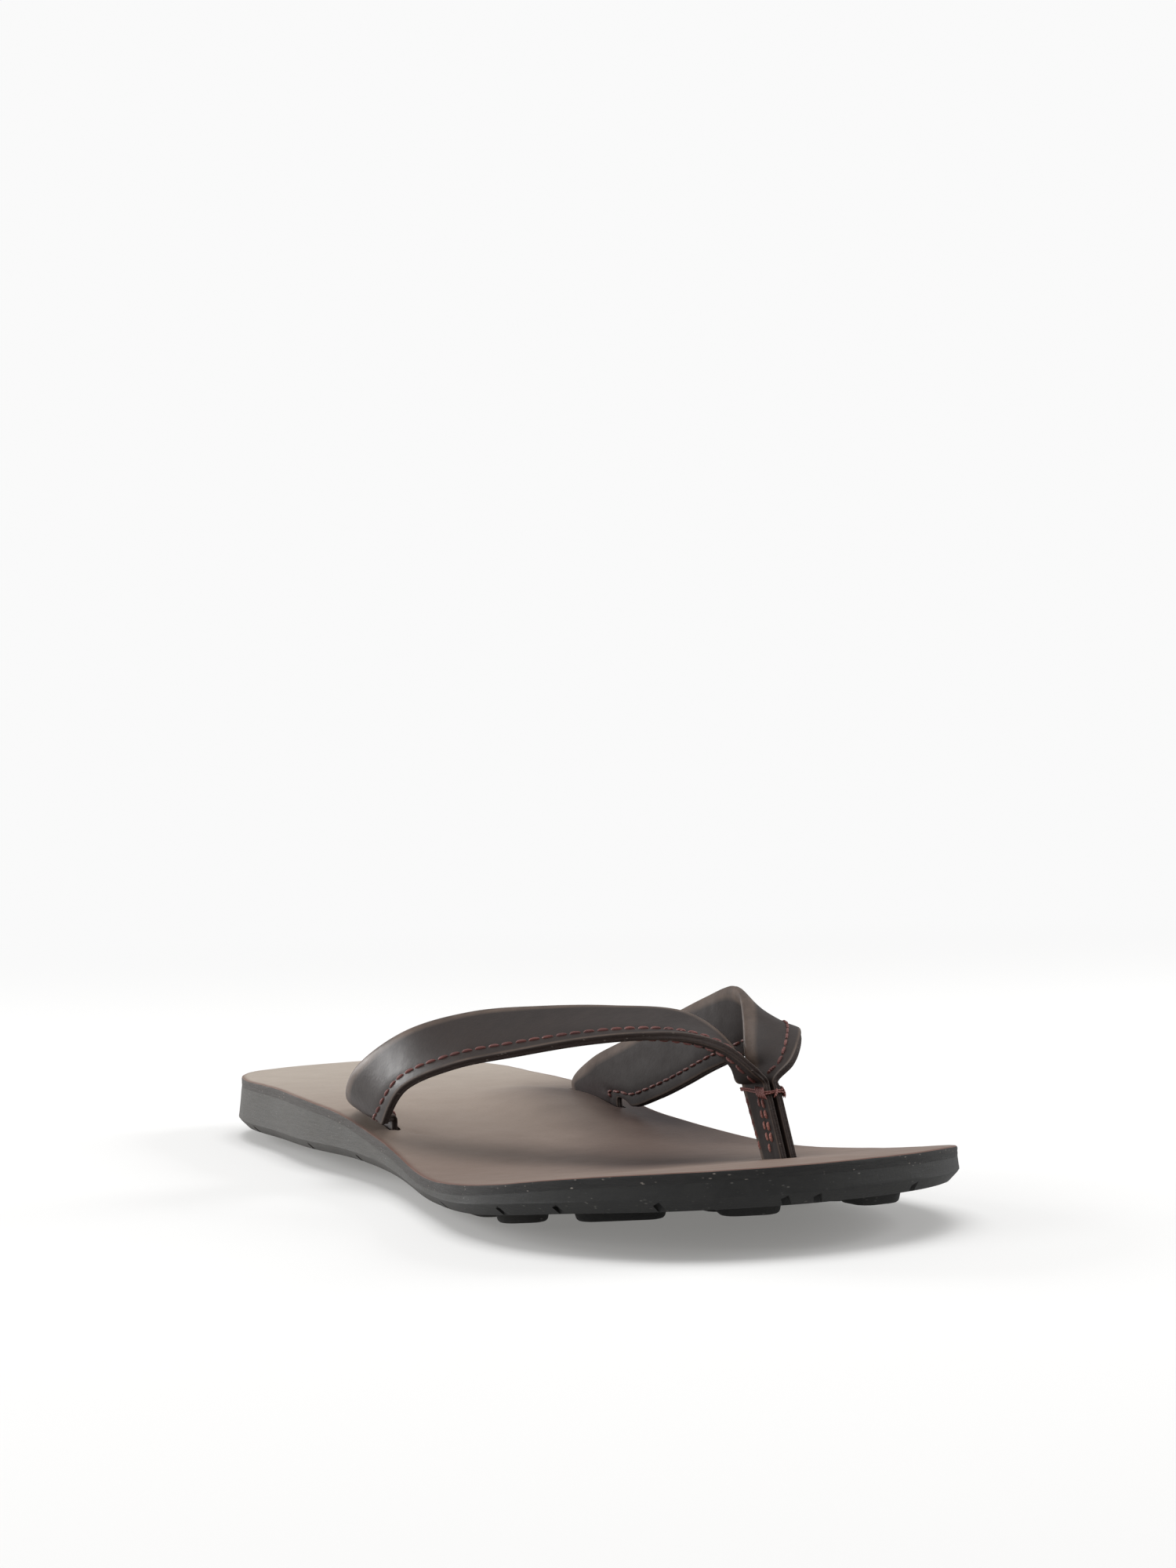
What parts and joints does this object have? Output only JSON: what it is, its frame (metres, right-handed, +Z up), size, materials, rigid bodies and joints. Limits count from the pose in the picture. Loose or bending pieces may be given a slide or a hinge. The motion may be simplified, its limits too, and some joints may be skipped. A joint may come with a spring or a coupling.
{
  "type": "flip flop",
  "caption": "Right-foot leather thong sandal: moulded rubber sole with tread lugs, leather footbed and folded, stitched leather straps meeting in a toe post.",
  "frame": {"origin": "middle of the whole sandal's box, on the ground under the tread", "axes": "+Z up, heel towards +Y and toe towards -Y, +X towards the big-toe (medial) side of this right-foot sandal"},
  "size_m": [0.1034, 0.2894, 0.046],
  "materials": {
    "outsole_rubber": "matte charcoal rubber, lightly mottled",
    "footbed_leather": "smooth taupe-brown leather, satin",
    "strap_leather": "smooth dark grey-brown leather, soft sheen",
    "thread": "twisted burgundy sewing thread",
    "tape": "woven reinforcing tape",
    "foam": "matte latex foam",
    "tack_steel": "plain wire steel"
  },
  "bodies": {
    "root": {"outsole": "outsole_rubber", "footbed": "footbed_leather", "arch_pad": "foam", "lateral_strap": "strap_leather", "lateral_strap_tape": "tape", "lateral_edge_thread": "thread", "medial_strap": "strap_leather", "medial_strap_tape": "tape", "medial_edge_thread": "thread", "post_rear_thread": "thread", "post_front_thread_1": "thread", "post_front_thread_2": "thread", "post_bar_tack": "thread", "lateral_tack_1": "tack_steel", "lateral_tack_2": "tack_steel", "lateral_tack_3": "tack_steel", "medial_tack_1": "tack_steel", "medial_tack_2": "tack_steel", "medial_tack_3": "tack_steel", "toe_lateral_tack_1": "tack_steel", "toe_medial_tack_1": "tack_steel"}
  },
  "joints": []
}
